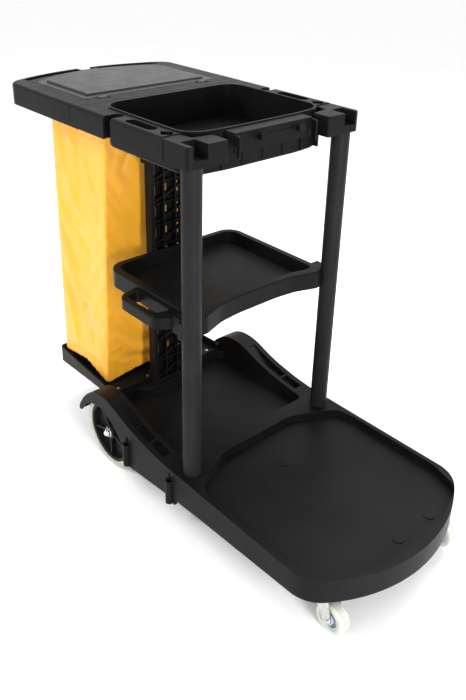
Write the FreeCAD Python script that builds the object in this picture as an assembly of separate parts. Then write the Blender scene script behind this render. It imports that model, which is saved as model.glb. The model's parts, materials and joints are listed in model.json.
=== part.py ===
import FreeCAD, Part
import math
import os
from FreeCAD import Vector

os.makedirs("parts", exist_ok=True)

# Housekeeping cart. Millimetres. X runs from the push handle (rear, -X) to the bucket deck (front, +X),
# Y across the cart, Z up. The origin is on the floor, at the middle of the cart's plan.

# ---- overall ----
HALF_LENGTH = 631.0
HALF_WIDTH = 258.0
WALL = 5.0

# ---- base ----
DECK_RIM = 158.0
DECK_FLOOR = 138.0
SHELF_FLOOR = 125.0
LEDGE_TOP = 152.0
NOSE_BULGE_RADIUS = 380.0
NOSE_CORNER_RADIUS = 85.0
WELL_HALF_WIDTH = 205.0
WELL_FRONT = 77.0
WELL_REAR = -261.0
PANEL_STEP = -227.0
BASE_REAR = -296.0
FENDER_TIP = -327.0
SKIRT_SOCKETS = (-96.0, 85.0)
SOCKET_RADIUS = 7.0
SOCKET_Y = 260.5
SOCKET_FLOOR = 80.0
SOCKET_TOP = 128.0
SLOT_CELLS = ((-157.0, -91.0), (-87.0, -23.0), (-19.0, 38.0))
DECK_BUMPS = ((225.0, -10.0), (568.0, 0.0), (568.0, 113.0))

# ---- rear wheels ----
WHEEL_RADIUS = 100.0
WHEEL_RIM_RADIUS = 84.0
SPOKES = 5
WHEEL_X = -197.0
WHEEL_OUTER_Y = 249.0
WHEEL_WIDTH = 34.0
AXLE_RADIUS = 8.0
AXLE_HALF_LENGTH = 251.0

# ---- front casters ----
CASTER_X = 532.0
CASTER_Y = 192.0
CASTER_WHEEL_RADIUS = 37.5
CASTER_WHEEL_WIDTH = 26.0
CASTER_TRAIL = 27.0
CASTER_SEAT = 100.0
STEM_RADIUS = 6.0

# ---- posts, panel and shelf ----
POST_X = 123.0
POST_Y = 221.0
POST_RADIUS = 22.0
POST_FOOT = 120.0
POST_TOP = 932.0
PANEL_FRONT = -236.0
PANEL_DEPTH = 25.0
PANEL_HALF_WIDTH = 64.0
PANEL_TOP = 866.0
SHELF_TOP = 567.0
SHELF_BOTTOM = 522.0
SHELF_REAR = -235.0
SHELF_HALF_WIDTH = 207.0
SHELF_FRONT = 97.0

# ---- top tray ----
RIM_TOP = 969.0
RAIL_TOP = 966.0
RAIL_BOTTOM = 915.0
TUB_BOTTOM = 877.0
TUB_REAR = -229.0
TUB_FRONT = 90.0
TUB_HALF_WIDTH = 196.0
SEAM_X = -250.0
TRAY_HALF_WIDTH = 250.0
BLOCK_FRONT = 149.0
FIN_Y = (-113.0, 113.0)
PEG_Y = (-44.0, 69.0)
PEG_Z = 949.0

# ---- handle frame and lid ----
FRAME_TOP = 966.0
FRAME_BOTTOM = 914.0
FRAME_REAR_CURVE = 600.0
FRAME_CORNER = 46.0
GRIP_RIBS = 20
GRIP_INNER_Y = 28.0
GRIP_OUTER_Y = 205.0
THUMB_NOTCH_HALF_WIDTH = 22.0
LID_HALF_WIDTH = 197.0
LID_FRONT = -306.0
LID_REAR = -594.0
LID_REAR_CURVE = 330.0
LID_RISE = 6.0
LID_HINGE_Z = 963.0
HINGE_Y = 150.0
HINGE_PIN_RADIUS = 3.0

# ---- bag and its platform ----
BAG_TOP = 944.0
BAG_TOP_FRONT = -296.0
BAG_TOP_REAR = -560.0
BAG_TOP_HALF_WIDTH = 152.0
BAG_BOTTOM = 159.0
BAG_BOTTOM_FRONT = -317.0
BAG_BOTTOM_REAR = -548.0
BAG_BOTTOM_HALF_WIDTH = 170.0
BAG_SKIN = 3.0
PLATFORM_FLOOR = 157.0
PLATFORM_TOP = 176.0
PLATFORM_FRONT = -263.0
PLATFORM_FRONT_HALF_WIDTH = 197.0
PLATFORM_REAR = -560.0
PLATFORM_REAR_HALF_WIDTH = 180.0
PLATFORM_SKIRT_BOTTOM = 130.0

# ---- fasteners ----
SCREW_HEAD_RADIUS = 4.5
SCREW_SHANK_RADIUS = 2.2
SCREW_SEAT_GAP = 0.05

RUNNING_GAP = 0.05
POST_GAP = 0.15
SIDES = (("left", -1), ("right", 1))


# ---- small helpers ----

def box(x0, x1, y0, y1, z0, z1):
    return Part.makeBox(x1 - x0, y1 - y0, z1 - z0, Vector(x0, y0, z0))


def rod(radius, start, end):
    a = Vector(*start)
    b = Vector(*end)
    return Part.makeCylinder(radius, (b - a).Length, a, b - a)


def tube(radius, bore, start, end):
    return rod(radius, start, end).cut(rod(bore, start, end))


def union(shapes):
    first = shapes[0]
    return first.fuse(shapes[1:]).removeSplitter() if len(shapes) > 1 else first


def rounded_wire(points, radius, place):
    """A closed outline whose corners are arcs. A corner takes its own radius as a third number."""
    corners = []
    count = len(points)
    for i, point in enumerate(points):
        here = Vector(point[0], point[1], 0)
        before = Vector(*points[i - 1][:2], 0) - here
        after = Vector(*points[(i + 1) % count][:2], 0) - here
        size = point[2] if len(point) > 2 else radius
        half = before.getAngle(after) / 2
        if size <= 0 or half > math.pi / 2 - 0.01:
            corners.append((here, here, here))
            continue
        back = min(size / math.tan(half), before.Length * 0.49, after.Length * 0.49)
        size = back * math.tan(half)
        before.normalize()
        after.normalize()
        centre = here + (before + after).normalize() * (size / math.sin(half))
        middle = centre + (here - centre).normalize() * size
        corners.append((here + before * back, middle, here + after * back))
    edges = []
    for i, (start, middle, end) in enumerate(corners):
        if (end - start).Length > 1e-6:
            edges.append(Part.Arc(place(start), place(middle), place(end)).toShape())
        following = corners[(i + 1) % count][0]
        if (following - end).Length > 1e-6:
            edges.append(Part.makeLine(place(end), place(following)))
    return Part.Wire(edges)


def plan(points, z0, z1, radius=0.0):
    """An outline in X and Y, raised from z0 to z1."""
    wire = rounded_wire(points, radius, lambda p: Vector(p.x, p.y, z0))
    return Part.Face(wire).extrude(Vector(0, 0, z1 - z0))


def side(points, y0, y1, radius=0.0):
    """An outline in X and Z, drawn out from y0 to y1."""
    wire = rounded_wire(points, radius, lambda p: Vector(p.x, y0, p.y))
    return Part.Face(wire).extrude(Vector(0, y1 - y0, 0))


def front(points, x0, x1, radius=0.0):
    """An outline in Y and Z, drawn out from x0 to x1."""
    wire = rounded_wire(points, radius, lambda p: Vector(x0, p.x, p.y))
    return Part.Face(wire).extrude(Vector(x1 - x0, 0, 0))


def mirrored(points):
    """Completes an outline given on its +Y side, from the front to the rear."""
    return points + [(p[0], -p[1]) + tuple(p[2:]) for p in reversed(points)]


def other_side(shape):
    return shape.mirror(Vector(0, 0, 0), Vector(0, 1, 0))


def both_sides(shape):
    return [shape, other_side(shape)]


def eased(shape, edge_test, radius):
    """Rounds the edges that pass the test, and leaves the shape alone where the kernel can't."""
    chosen = [e for e in shape.Edges if edge_test(e)]
    try:
        result = shape.makeFillet(radius, chosen) if chosen else shape
    except Exception:
        return shape
    return result if result.isValid() and result.Volume > 0 else shape


def flat_at(z, tolerance=0.05):
    return lambda e: abs(e.BoundBox.ZMin - z) < tolerance and abs(e.BoundBox.ZMax - z) < tolerance


def save(node, shape):
    solids = shape.Solids
    result = solids[0] if len(solids) == 1 else Part.makeCompound(solids)
    result.exportStep("parts/" + node + ".step")


# ---- base platform ----

def nose_outline(inset):
    """The base in plan: straight sides, round front corners and a shallow bulging front."""
    half = HALF_WIDTH - inset
    reach = HALF_LENGTH - inset
    corner_x = reach - half ** 2 / (2 * NOSE_BULGE_RADIUS)
    return reach, half, corner_x


def nose_body(inset, rear, z0, z1):
    reach, half, corner_x = nose_outline(inset)
    radius = NOSE_BULGE_RADIUS
    block = box(rear, reach, -half, half, z0, z1)
    bulge = rod(radius, (reach - radius, 0, z0), (reach - radius, 0, z1))
    tail = box(rear, corner_x - 20, -half, half, z0, z1)
    body = block.common(bulge.fuse(tail))
    upright = [e for e in body.Edges if e.BoundBox.ZLength > z1 - z0 - 0.1 and e.BoundBox.XMin > corner_x - 60]
    upright = [e for e in upright if abs(abs(e.BoundBox.YMin) - half) < 1.0]
    return body.makeFillet(NOSE_CORNER_RADIUS - inset, upright)


def fender_top(drop):
    """The top line of the base seen from the side, from the fender's rear tip to the deck."""
    crest = [(FENDER_TIP, 121), (-309, 152), (-280, 184), (-246, 205), (-205, 212), (-157, 205), (-110, 188),
             (-50, 173), (20, 162), (92, DECK_RIM)]
    return [(x, z - drop) for x, z in crest]


def base_profile(drop, y):
    """The base between its top line and its lower edge, seen from the side."""
    top = [Vector(x, -y, z) for x, z in fender_top(drop)]
    curve = Part.BSplineCurve()
    curve.interpolate(top)
    lower = [(HALF_LENGTH + 5, 100), (493, 99), (199, 84), (104, 77), (-83, 57), (-120, 56), (FENDER_TIP, 56)]
    points = [top[-1], Vector(HALF_LENGTH + 5, -y, DECK_RIM - drop)]
    points += [Vector(x, -y, z - (30 if drop else 0)) for x, z in lower]
    points.append(top[0])
    edges = [curve.toShape()]
    for start, end in zip(points, points[1:]):
        edges.append(Part.makeLine(start, end))
    return Part.Face(Part.Wire(edges)).extrude(Vector(0, 2 * y, 0))


def deck_recess(grow, z0):
    """The bucket deck's sunk floor, which curves round the two posts at its rear corners."""
    g = grow
    points = mirrored([(606 + g, 40, 60), (600 + g, 120, 60), (566 + g, 222 + g, 55), (480, 246 + g, 40),
                       (222, 246 + g, 30), (176 - g, 236 + g, 30), (146 - g, 178 + g, 40),
                       (117 - g, 118 + g, 60)])
    return plan(points, z0, DECK_RIM + 60)


def shelf_well(grow, z0):
    """The lower shelf's floor area, with the step that carries the back panel at its rear."""
    g = grow
    points = mirrored([(WELL_FRONT + g, WELL_HALF_WIDTH + g, 18), (WELL_REAR - g, WELL_HALF_WIDTH + g, 18),
                       (WELL_REAR - g, 122 - g, 6), (PANEL_STEP - g, 96 - g, 6)])
    return plan(points, z0, LEDGE_TOP + 80)


def fender_slot(grow):
    """The three-cell tool recess sunk in the top of a fender, on the +Y side."""
    start = SLOT_CELLS[0][0]
    end = SLOT_CELLS[-1][1]
    bottom = [(start, 202), (-120, 181), (-86, 163), (end, 143)]
    outline = [(x, z - grow) for x, z in bottom] + [(end, 240), (start, 240)]
    slot = side(outline, 217 - grow, 243 + grow)
    if grow:
        return slot
    for before, after in zip(SLOT_CELLS, SLOT_CELLS[1:]):
        slot = slot.cut(box(before[1], after[0], 210, 250, 120, 172))
    return slot


def wheel_arch():
    """The opening in the outer skirt through which a rear wheel is seen, on the +Y side."""
    outline = [(-318, 111, 8), (-300, 138, 20), (-262, 164, 30), (-216, 173, 40), (-160, 150, 40),
               (-120, 108, 20), (-120, 20, 0), (-360, 20, 0), (-360, 111, 0)]
    return side(outline, WHEEL_OUTER_Y, HALF_WIDTH + 20)


def skirt_socket(x):
    """A half-round tool socket that stands proud of the skirt, on the +Y side."""
    bottom = SOCKET_FLOOR - 18
    outer = rod(SOCKET_RADIUS + 3, (x, SOCKET_Y, bottom), (x, SOCKET_Y, SOCKET_TOP))
    face = box(x - 18, x + 18, SOCKET_Y - 10, HALF_WIDTH + 1, bottom, SOCKET_TOP)
    return outer.fuse(face)


def star_hole(x, z):
    """The pointed hole above a tool socket, on the +Y side."""
    points = []
    for i in range(10):
        reach = 10.0 if i % 2 == 0 else 5.0
        angle = math.radians(90 + 36 * i)
        points.append((x + reach * math.cos(angle), z + reach * math.sin(angle)))
    return side(points, HALF_WIDTH - 12, HALF_WIDTH + 12)


def base_platform():
    outer = nose_body(0, FENDER_TIP, 40, 240).common(base_profile(0, 300))
    inner = nose_body(WALL, FENDER_TIP + WALL, 30, 240).common(base_profile(WALL + 1, 300))
    inner = inner.cut(deck_recess(WALL, DECK_FLOOR - 6))
    inner = inner.cut(shelf_well(WALL, SHELF_FLOOR - 6))
    inner = inner.cut(box(BASE_REAR, WELL_FRONT, -WELL_HALF_WIDTH - WALL, WELL_HALF_WIDTH + WALL, LEDGE_TOP - 6, 260))
    inner = inner.cut(box(FENDER_TIP - 5, BASE_REAR + WALL, -WELL_HALF_WIDTH - WALL, WELL_HALF_WIDTH + WALL, 20, 260))
    for slot in both_sides(fender_slot(2.0)):
        inner = inner.cut(slot)
    for wall in both_sides(box(BASE_REAR, -60, WELL_HALF_WIDTH, WELL_HALF_WIDTH + WALL, 70, 260)):
        inner = inner.cut(wall)
    base = outer.cut(inner)
    base = base.cut(deck_recess(0, DECK_FLOOR))
    base = base.cut(shelf_well(0, SHELF_FLOOR))
    base = base.cut(box(FENDER_TIP - 5, WELL_FRONT - 20, -WELL_HALF_WIDTH, WELL_HALF_WIDTH, LEDGE_TOP, 260))
    base = base.cut(box(FENDER_TIP - 5, BASE_REAR, -WELL_HALF_WIDTH, WELL_HALF_WIDTH, 20, 260))
    for tail in both_sides(box(FENDER_TIP - 5, BASE_REAR, WELL_HALF_WIDTH - 1, HALF_WIDTH + 5, 20, 112)):
        base = base.cut(tail)
    added = []
    cuts = []
    for shape in both_sides(rod(POST_RADIUS + 6, (POST_X, POST_Y, 110), (POST_X, POST_Y, DECK_RIM - 3))):
        added.append(shape)
    for shape in both_sides(rod(22, (CASTER_X, CASTER_Y, CASTER_SEAT), (CASTER_X, CASTER_Y, DECK_FLOOR - 2))):
        added.append(shape)
    for shape in both_sides(box(WHEEL_X - 26, WHEEL_X + 26, 190, 200, 84, SHELF_FLOOR - 2)):
        added.append(shape)
    for x in SKIRT_SOCKETS:
        added += both_sides(skirt_socket(x))
        cuts += both_sides(rod(SOCKET_RADIUS, (x, SOCKET_Y, SOCKET_FLOOR), (x, SOCKET_Y, SOCKET_TOP + 1)))
        cuts += both_sides(star_hole(x, 141))
    for x, y in DECK_BUMPS:
        added.append(rod(13, (x, y, DECK_FLOOR - 1), (x, y, DECK_FLOOR + 2)))
    for bar_x in (225, 400, 520):
        added.append(box(bar_x, bar_x + 4, -240, 240, 112, DECK_FLOOR - 5))
    for bar_y in (-110, 110):
        added.append(box(-255, 560, bar_y - 2, bar_y + 2, 114, SHELF_FLOOR - 5))
    for shape in both_sides(rod(POST_RADIUS + POST_GAP, (POST_X, POST_Y, POST_FOOT), (POST_X, POST_Y, 200))):
        cuts.append(shape)
    for shape in both_sides(rod(STEM_RADIUS + 0.1, (CASTER_X, CASTER_Y, 90), (CASTER_X, CASTER_Y, 130))):
        cuts.append(shape)
    cuts += both_sides(fender_slot(0))
    cuts += both_sides(wheel_arch())
    cuts.append(rod(AXLE_RADIUS + RUNNING_GAP, (WHEEL_X, -240, WHEEL_RADIUS), (WHEEL_X, 240, WHEEL_RADIUS)))
    cuts += both_sides(rod(14, (WHEEL_X, 202, WHEEL_RADIUS), (WHEEL_X, 213, WHEEL_RADIUS)))
    cuts += post_screws(SCREW_SEAT_GAP).Solids + platform_screws(SCREW_SEAT_GAP).Solids
    return union([base] + added).cut(cuts).removeSplitter()


# ---- bag platform ----

def platform_outline(inset):
    front = (PLATFORM_FRONT - inset, PLATFORM_FRONT_HALF_WIDTH - inset, 8)
    rear = (PLATFORM_REAR + inset, PLATFORM_REAR_HALF_WIDTH - inset, 16)
    return mirrored([front, rear])


def bag_platform():
    """The open tray behind the base, on which the bag's bottom stands."""
    body = plan(platform_outline(0), LEDGE_TOP, PLATFORM_TOP)
    body = body.cut(plan(platform_outline(WALL), PLATFORM_FLOOR, PLATFORM_TOP + 5))
    low = PLATFORM_SKIRT_BOTTOM
    skirt = plan(platform_outline(0), low, LEDGE_TOP + 1).cut(plan(platform_outline(WALL), low - 5, LEDGE_TOP))
    wedge = [(PLATFORM_REAR - 5, LEDGE_TOP + 1, 0), (PLATFORM_REAR - 5, low, 0), (PLATFORM_REAR + 20, low, 0),
             (PLATFORM_FRONT - 60, LEDGE_TOP - 1, 0), (PLATFORM_FRONT - 60, LEDGE_TOP + 1, 0)]
    half = PLATFORM_FRONT_HALF_WIDTH + 10
    body = body.fuse(skirt.common(side(wedge, -half, half))).removeSplitter()
    front_half = PLATFORM_FRONT_HALF_WIDTH - 12
    front_gap = box(PLATFORM_FRONT - 12, PLATFORM_FRONT + 10, -front_half, front_half,
                    PLATFORM_FLOOR + 6, PLATFORM_TOP + 5)
    return body.cut(front_gap).cut(platform_screws(SCREW_SEAT_GAP).Solids)


# ---- back panel ----

def back_panel():
    """The ribbed spine: a flanged channel, open to the front, with cross ribs and slots."""
    x0 = PANEL_FRONT - PANEL_DEPTH
    x1 = PANEL_FRONT
    half = PANEL_HALF_WIDTH
    body = box(x0, x1, -half, half, LEDGE_TOP, PANEL_TOP)
    body = body.cut(box(x0 + 4, x1 + 1, -half + 12, half - 12, LEDGE_TOP + 10, PANEL_TOP - 60))
    pieces = [body]
    for y in (-20, 18):
        pieces.append(box(x0 + 3, x1 - 3, y - 2, y + 2, LEDGE_TOP + 5, PANEL_TOP - 50))
    count = 11
    pitch = (PANEL_TOP - 60 - LEDGE_TOP - 10) / count
    for i in range(count):
        z = LEDGE_TOP + 10 + pitch * i
        rise = pitch * 0.75
        outline = [(-half + 8, z + 2), (half - 8, z + rise), (half - 8, z + rise + 4), (-half + 8, z + 6)]
        pieces.append(front(outline, x0 + 3, x1 - 5))
        pieces.append(box(x0 + 3, x1 - 9, -half + 8, half - 8, z + pitch - 3, z + pitch))
    panel = union(pieces)
    slots = []
    for y in (-37, -1, 36):
        for i in range(count):
            z = LEDGE_TOP + 24 + pitch * i
            slots.append(box(x0 - 2, x0 + 6, y - 4, y + 4, z, z + pitch * 0.5))
    return panel.cut(slots + shelf_screws(SCREW_SEAT_GAP).Solids)


def panel_socket():
    """The collar under the top tray that takes the back panel's upper end."""
    x0 = PANEL_FRONT - PANEL_DEPTH
    half = PANEL_HALF_WIDTH + 9
    gap = 0.3
    outer = plan(mirrored([(PANEL_FRONT + 8, half, 8), (x0 - 4.5, half, 3)]), 800, TUB_BOTTOM - 0.2)
    inner = box(x0 - gap, PANEL_FRONT + gap, -PANEL_HALF_WIDTH - gap, PANEL_HALF_WIDTH + gap, 790, PANEL_TOP + gap)
    return outer.cut(inner)


# ---- posts ----

def front_post(sign):
    y = sign * POST_Y
    return tube(POST_RADIUS, POST_RADIUS - 2.5, (POST_X, y, POST_FOOT), (POST_X, y, POST_TOP))


# ---- middle shelf ----

def shelf_outline(inset):
    """The shelf in plan: round rear corners and a front edge that curves in between the posts."""
    i = inset
    middle = (SHELF_FRONT - i, 62, 220)
    shoulder = (SHELF_FRONT + 6 - i * 1.1, 118, 120)
    tip = (124 - i * 1.6, 178 - i * 0.4, 20)
    front_corner = (118 - i * 1.5, SHELF_HALF_WIDTH - i, 14)
    rear_corner = (SHELF_REAR + i, SHELF_HALF_WIDTH - i, 46 - i)
    return mirrored([middle, shoulder, tip, front_corner, rear_corner])


def post_clasp():
    """The half collar that wraps the rear of a post, on the +Y side."""
    collar = rod(POST_RADIUS + 7, (POST_X, POST_Y, SHELF_BOTTOM), (POST_X, POST_Y, SHELF_TOP - 4))
    cheek = box(70, POST_X, 190, POST_Y + 12, SHELF_BOTTOM, SHELF_TOP - 4)
    return collar.fuse(cheek).common(box(60, POST_X - 4, 185, POST_Y + 22, SHELF_BOTTOM, SHELF_TOP))


def loop_handle():
    """The grab loop on the shelf's near side."""
    low = SHELF_BOTTOM + 5
    high = SHELF_BOTTOM + 34
    root = -SHELF_HALF_WIDTH + 3
    loop = plan([(-112, root, 6), (-98, -263, 28), (46, -263, 28), (82, root, 6)], low, high)
    loop = eased(loop, flat_at(high), 5)
    grip = plan([(-91, -212, 8), (-84, -250, 16), (24, -250, 16), (34, -212, 8)], low - 5, high + 20)
    inside = box(-140, 100, -SHELF_HALF_WIDTH + 2, 0, low - 5, high + 5)
    return loop.cut(grip).cut(inside)


def middle_shelf():
    body = plan(shelf_outline(0), SHELF_BOTTOM, SHELF_TOP)
    body = eased(body, flat_at(SHELF_TOP), 4)
    body = body.cut(plan(shelf_outline(18), SHELF_TOP - 30, SHELF_TOP + 20))
    body = body.cut(plan(shelf_outline(5), SHELF_BOTTOM - 5, SHELF_TOP - 36))
    ring = plan(shelf_outline(5), SHELF_BOTTOM - 5, SHELF_TOP - 5)
    ring = ring.cut(plan(shelf_outline(14), SHELF_BOTTOM - 6, SHELF_TOP))
    pieces = [body.cut(ring), loop_handle()] + both_sides(post_clasp())
    cuts = shelf_screws(SCREW_SEAT_GAP).Solids
    low = (POST_X, POST_Y, SHELF_BOTTOM - 5)
    cuts += both_sides(rod(POST_RADIUS + POST_GAP, low, (POST_X, POST_Y, SHELF_TOP + 5)))
    return union(pieces).cut(cuts)


# ---- top tray ----

def tub_outline(inset):
    i = inset
    return mirrored([(TUB_FRONT - i, 100, 300), (TUB_FRONT - 10 - i, TUB_HALF_WIDTH - i, 52 - i),
                     (TUB_REAR + i, TUB_HALF_WIDTH - i, 46 - i)])


def corner_block():
    """The block over a front post, with its tool notch open to the front, on the +Y side."""
    body = plan([(40, 200, 0), (40, TRAY_HALF_WIDTH, 0), (BLOCK_FRONT, TRAY_HALF_WIDTH, 10),
                 (BLOCK_FRONT, 148, 5), (100, 148, 0), (92, 196, 0)], RAIL_BOTTOM + 2, RAIL_TOP - 2)
    body = eased(body, flat_at(RAIL_TOP - 2), 3)
    notch = box(106, BLOCK_FRONT + 5, 200, 237, 934, RIM_TOP + 5)
    ridge = box(64, 68, TRAY_HALF_WIDTH - 2, TRAY_HALF_WIDTH + 1.5, RAIL_BOTTOM + 4, RAIL_TOP - 6)
    return union([body.cut(notch), ridge])


def side_rail():
    """The tool rail beside the tub, on the +Y side, before its holes are cut."""
    body = box(SEAM_X, 60, 190, TRAY_HALF_WIDTH, RAIL_BOTTOM, RAIL_TOP)
    outer_top = [e for e in body.Edges
                 if e.BoundBox.XLength > 100 and e.BoundBox.ZMin > RAIL_TOP - 1 and e.BoundBox.YMin > 240]
    body = body.makeFillet(8, outer_top)
    hollow = box(SEAM_X + 4, 56, TUB_HALF_WIDTH + 6, TRAY_HALF_WIDTH - 4, RAIL_BOTTOM - 5, RAIL_TOP - 5)
    return body.cut(hollow)


def apron():
    """The front plate with its two hook fins and two pegs."""
    x = BLOCK_FRONT - 24
    root = TUB_FRONT + 1
    plate = box(x, x + 4, FIN_Y[0], FIN_Y[1], 924, RAIL_TOP)
    pieces = [plate, box(root, x + 4, FIN_Y[0], FIN_Y[1], 962, RAIL_TOP)]
    fin = [(root, 962, 0), (x + 20, 962, 6), (x + 20, 916, 3), (x + 12, 916, 3),
           (x + 12, 940, 3), (x, 940, 0), (x, 950, 0), (root, 950, 0)]
    for y in FIN_Y:
        pieces.append(side(fin, y - 2, y + 2))
    for y in PEG_Y:
        pieces.append(rod(7, (x, y, PEG_Z), (x + 17, y, PEG_Z)))
        pieces.append(rod(9, (x + 15, y, PEG_Z), (x + 19, y, PEG_Z)))
    pieces.append(box(x, x + 6, PEG_Y[0], PEG_Y[1], PEG_Z - 2, PEG_Z + 2))
    return union(pieces)


def rail_cuts():
    """Round hole with its open throat, long slot and diamond notch of a side rail, on the +Y side."""
    low = RAIL_BOTTOM - 20
    high = RIM_TOP + 20
    hole = rod(15, (-132, 222, low), (-132, 222, high))
    throat = box(-146, -118, 222, TRAY_HALF_WIDTH + 10, low, high)
    slot = plan([(-88, 211, 12.5), (-88, 237, 12.5), (8, 237, 12.5), (8, 211, 12.5)], low, high)
    notch = plan([(24, 222), (46, 206), (62, 222), (46, 238)], low, high)
    return [hole, throat, slot, notch]


def hole_liners():
    """Walls round the rail's holes, so that each hole is a proper socket, on the +Y side."""
    low = RAIL_BOTTOM + 1
    high = RAIL_TOP - 4
    ring = rod(19, (-132, 222, low), (-132, 222, high))
    collar = plan([(-93, 207, 15), (-93, 241, 15), (13, 241, 15), (13, 207, 15)], low, high)
    throat = box(-151, -113, 222, TRAY_HALF_WIDTH - 3, low, high)
    diamond = plan([(17, 222), (46, 200), (69, 222), (46, 244)], low, high)
    return [ring, collar, throat, diamond]


def top_tray():
    tub = plan(tub_outline(-5), TUB_BOTTOM, RIM_TOP)
    floor_edges = [e for e in tub.Edges if flat_at(TUB_BOTTOM)(e)]
    tub = tub.makeFillet(6, floor_edges)
    pieces = [tub]
    for part in (side_rail(), corner_block()):
        pieces += both_sides(part)
    for liner in hole_liners():
        pieces += both_sides(liner)
    pieces.append(box(SEAM_X, TUB_REAR + 20, -TRAY_HALF_WIDTH + 20, TRAY_HALF_WIDTH - 20, RAIL_TOP - 6, RAIL_TOP))
    half = TRAY_HALF_WIDTH - 4
    pieces.append(box(SEAM_X, SEAM_X + WALL, -half, half, RAIL_BOTTOM, RAIL_TOP - 2))
    for y in (-118, -60, 0, 60, 118, 172, -172):
        pieces.append(box(TUB_FRONT - 8, TUB_FRONT + 7.5, y - 2, y + 2, TUB_BOTTOM + 4, 950))
    pieces.append(apron())
    tray = union(pieces)
    cuts = [plan(tub_outline(0), TUB_BOTTOM + 8, RIM_TOP + 30)]
    for part in rail_cuts():
        cuts += both_sides(part)
    cuts += both_sides(rod(POST_RADIUS + POST_GAP, (POST_X, POST_Y, 900), (POST_X, POST_Y, POST_TOP + 0.2)))
    cuts += frame_screws(SCREW_SEAT_GAP).Solids
    return tray.cut(cuts)


# ---- handle frame, grips and lid ----

def bulged(front_x, half, rear_x, curve, corner, z0, z1):
    """A slab with straight front and sides, and a rear edge that is one arc with round corners."""
    slab = box(rear_x - 1, front_x, -half, half, z0, z1)
    arc = rod(curve, (rear_x + curve, 0, z0), (rear_x + curve, 0, z1))
    middle = (rear_x + front_x) / 2
    slab = slab.common(arc.fuse(box(middle, front_x, -half, half, z0, z1)))
    corners = []
    for e in slab.Edges:
        upright = e.BoundBox.ZLength > z1 - z0 - 0.01
        if upright and e.BoundBox.XMax < front_x - 20 and abs(abs(e.BoundBox.YMin) - half) < 0.5:
            corners.append(e)
    return slab.makeFillet(corner, corners)


def frame_slab(inset, z0, z1):
    """The handle frame's plan, drawn in by inset and raised from z0 to z1."""
    return bulged(SEAM_X - 0.4 - inset, TRAY_HALF_WIDTH - inset, -HALF_LENGTH + inset, FRAME_REAR_CURVE - inset,
                  FRAME_CORNER - inset, z0, z1)


def lid_slab(inset, z0, z1):
    return bulged(LID_FRONT - inset, LID_HALF_WIDTH - inset, LID_REAR + inset, LID_REAR_CURVE - inset, 12, z0, z1)


def hang_ring():
    """The rim under the frame round which the bag's mouth hangs."""
    loops = []
    for grow, z0, z1 in ((12, FRAME_TOP - 34, FRAME_TOP - 4), (6, FRAME_TOP - 40, FRAME_TOP)):
        front = (BAG_TOP_FRONT + grow, BAG_TOP_HALF_WIDTH + grow, 12)
        rear = (BAG_TOP_REAR - grow, BAG_TOP_HALF_WIDTH + grow, 18)
        loops.append(plan(mirrored([front, rear]), z0, z1))
    return loops[0].cut(loops[1])


def knuckle_space(y):
    """The pocket in the frame's front bar that holds one lid hinge."""
    return box(LID_FRONT - 10, LID_FRONT + 20, y - 17.5, y + 17.5, FRAME_TOP - 14, FRAME_TOP + 10)


def rear_edge(y):
    """Where the frame's curved rear edge lies at a given y."""
    return -HALF_LENGTH + FRAME_REAR_CURVE - math.sqrt(FRAME_REAR_CURVE ** 2 - y ** 2)


def grip_band(inset, width, z0, z1):
    """A strip along the frame's rear edge where a hand closes on it, on the +Y side."""
    strip = frame_slab(inset, z0, z1).cut(frame_slab(inset + width, z0 - 1, z1 + 1))
    return strip.common(box(-HALF_LENGTH, -480, GRIP_INNER_Y, GRIP_OUTER_Y, z0, z1))


def grip_ribs():
    """The ribs across the grip recess, on the +Y side."""
    ribs = []
    for i in range(GRIP_RIBS):
        y = GRIP_INNER_Y + 4 + (GRIP_OUTER_Y - GRIP_INNER_Y - 8) * i / (GRIP_RIBS - 1)
        edge = rear_edge(y) + 5
        ribs.append(box(edge, edge + 10, y - 2, y + 2, FRAME_TOP - 12, FRAME_TOP - 0.8))
    return ribs


def hinge_ears(y):
    """The two ears that carry one hinge pin, and the floor of their pocket."""
    shapes = [box(LID_FRONT + 1, LID_FRONT + 22, y - 21, y + 21, FRAME_TOP - 18, FRAME_TOP - 13)]
    for low in (y - 18, y + 12):
        outline = [(LID_FRONT + 2, FRAME_TOP - 14, 0), (LID_FRONT + 2, FRAME_TOP + 1, 4),
                   (LID_FRONT + 16, FRAME_TOP + 1, 4), (LID_FRONT + 21, FRAME_TOP - 14, 0)]
        shapes.append(side(outline, low, low + 6))
    return shapes


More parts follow.
